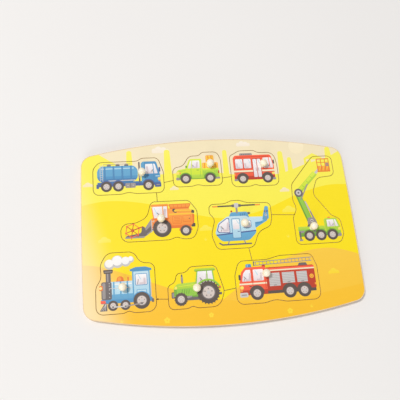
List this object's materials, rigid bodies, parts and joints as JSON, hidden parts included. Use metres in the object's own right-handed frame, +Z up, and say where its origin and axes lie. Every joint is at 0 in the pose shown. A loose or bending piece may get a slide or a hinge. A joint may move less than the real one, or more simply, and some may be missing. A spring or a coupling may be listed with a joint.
{
  "type": "peg puzzle",
  "caption": "Flat wooden tray with contoured openings, each holding a lift-out vehicle piece with a turned peg to grip it by.",
  "frame": {"origin": "centre of the tray's underside, on the surface that it lies on", "axes": "+X along the tray's length to the picture's right, +Y towards the top of the picture, +Z up out of the printed face"},
  "size_m": [0.302, 0.209, 0.0195],
  "materials": {
    "plain_ply": "bare sanded plywood with a light sealer",
    "printed_ply": "plywood printed in cream, yellow and orange under a satin clear coat",
    "tanker_print": "plywood printed mainly in blue under a satin clear coat",
    "pickup_print": "plywood printed mainly in lime and orange under a satin clear coat",
    "bus_print": "plywood printed mainly in red under a satin clear coat",
    "harvester_print": "plywood printed mainly in orange under a satin clear coat",
    "helicopter_print": "plywood printed mainly in light blue under a satin clear coat",
    "lift_truck_print": "plywood printed mainly in green under a satin clear coat",
    "locomotive_print": "plywood printed mainly in light blue and grey under a satin clear coat",
    "tractor_print": "plywood printed mainly in green under a satin clear coat",
    "fire_engine_print": "plywood printed mainly in red under a satin clear coat",
    "beech": "turned pale beech with a satin varnish"
  },
  "bodies": {
    "tray": {"base_board": "plain_ply", "face_board": "printed_ply"},
    "tanker": {"tanker_piece": "tanker_print", "tanker_peg": "beech"},
    "pickup": {"pickup_piece": "pickup_print", "pickup_peg": "beech"},
    "bus": {"bus_piece": "bus_print", "bus_peg": "beech"},
    "harvester": {"harvester_piece": "harvester_print", "harvester_peg": "beech"},
    "helicopter": {"helicopter_piece": "helicopter_print", "helicopter_peg": "beech"},
    "lift_truck": {"lift_truck_piece": "lift_truck_print", "lift_truck_peg": "beech"},
    "locomotive": {"locomotive_piece": "locomotive_print", "locomotive_peg": "beech"},
    "tractor": {"tractor_piece": "tractor_print", "tractor_peg": "beech"},
    "fire_engine": {"fire_engine_piece": "fire_engine_print", "fire_engine_peg": "beech"}
  },
  "joints": [
    {"name": "tanker_lift", "type": "slide", "parent": "tray", "child": "tanker", "axis": [0, 0, 1], "range_m": [0, 0.04]},
    {"name": "pickup_lift", "type": "slide", "parent": "tray", "child": "pickup", "axis": [0, 0, 1], "range_m": [0, 0.04]},
    {"name": "bus_lift", "type": "slide", "parent": "tray", "child": "bus", "axis": [0, 0, 1], "range_m": [0, 0.04]},
    {"name": "harvester_lift", "type": "slide", "parent": "tray", "child": "harvester", "axis": [0, 0, 1], "range_m": [0, 0.04]},
    {"name": "helicopter_lift", "type": "slide", "parent": "tray", "child": "helicopter", "axis": [0, 0, 1], "range_m": [0, 0.04]},
    {"name": "lift_truck_lift", "type": "slide", "parent": "tray", "child": "lift_truck", "axis": [0, 0, 1], "range_m": [0, 0.04]},
    {"name": "locomotive_lift", "type": "slide", "parent": "tray", "child": "locomotive", "axis": [0, 0, 1], "range_m": [0, 0.04]},
    {"name": "tractor_lift", "type": "slide", "parent": "tray", "child": "tractor", "axis": [0, 0, 1], "range_m": [0, 0.04]},
    {"name": "fire_engine_lift", "type": "slide", "parent": "tray", "child": "fire_engine", "axis": [0, 0, 1], "range_m": [0, 0.04]}
  ]
}
